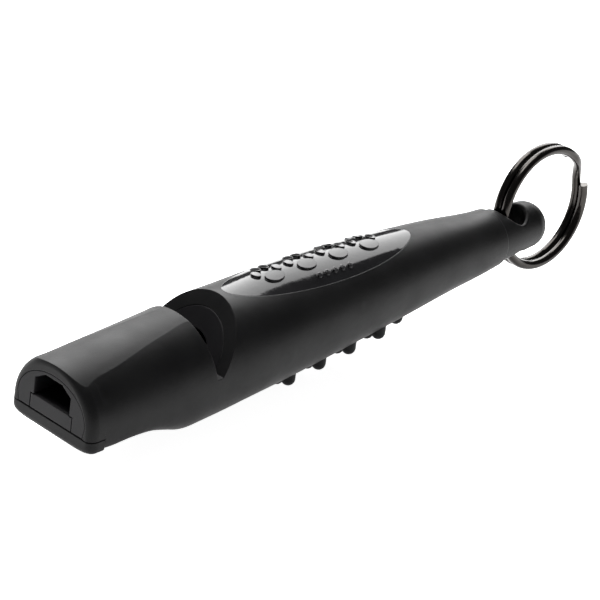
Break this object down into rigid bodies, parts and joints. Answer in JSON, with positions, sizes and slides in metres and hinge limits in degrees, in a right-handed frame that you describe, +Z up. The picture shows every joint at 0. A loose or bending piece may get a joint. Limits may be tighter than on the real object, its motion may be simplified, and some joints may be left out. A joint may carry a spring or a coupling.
{
  "type": "training whistle",
  "caption": "Black plastic pealess training whistle with an arched mouthpiece, gloss oval panel, grip studs and a split ring through its tail.",
  "frame": {"origin": "under the middle of whistle and ring, on the surface that the lowest grip studs touch", "axes": "+X from the mouth face towards the tail and ring, +Y across the body, +Z up with the sound window on top"},
  "size_m": [0.0886, 0.0134, 0.0172],
  "materials": {
    "shell_plastic": "fine matte texture",
    "core_plastic": "satin",
    "panel_plastic": "polished",
    "ring_metal": "black nickel plate"
  },
  "bodies": {
    "whistle": {"body_shell": "shell_plastic", "tone_core": "core_plastic", "fipple_block": "core_plastic", "base_cover": "shell_plastic", "tone_plug": "core_plastic", "name_panel": "panel_plastic", "tail_plug": "shell_plastic"},
    "ring": {"split_ring": "ring_metal"}
  },
  "joints": [
    {"name": "ring_swing", "type": "hinge", "parent": "whistle", "child": "ring", "pos_m": [0.02989, 0, 0.00767], "axis": [0, 0, 1], "range_deg": [-140, 140]}
  ]
}
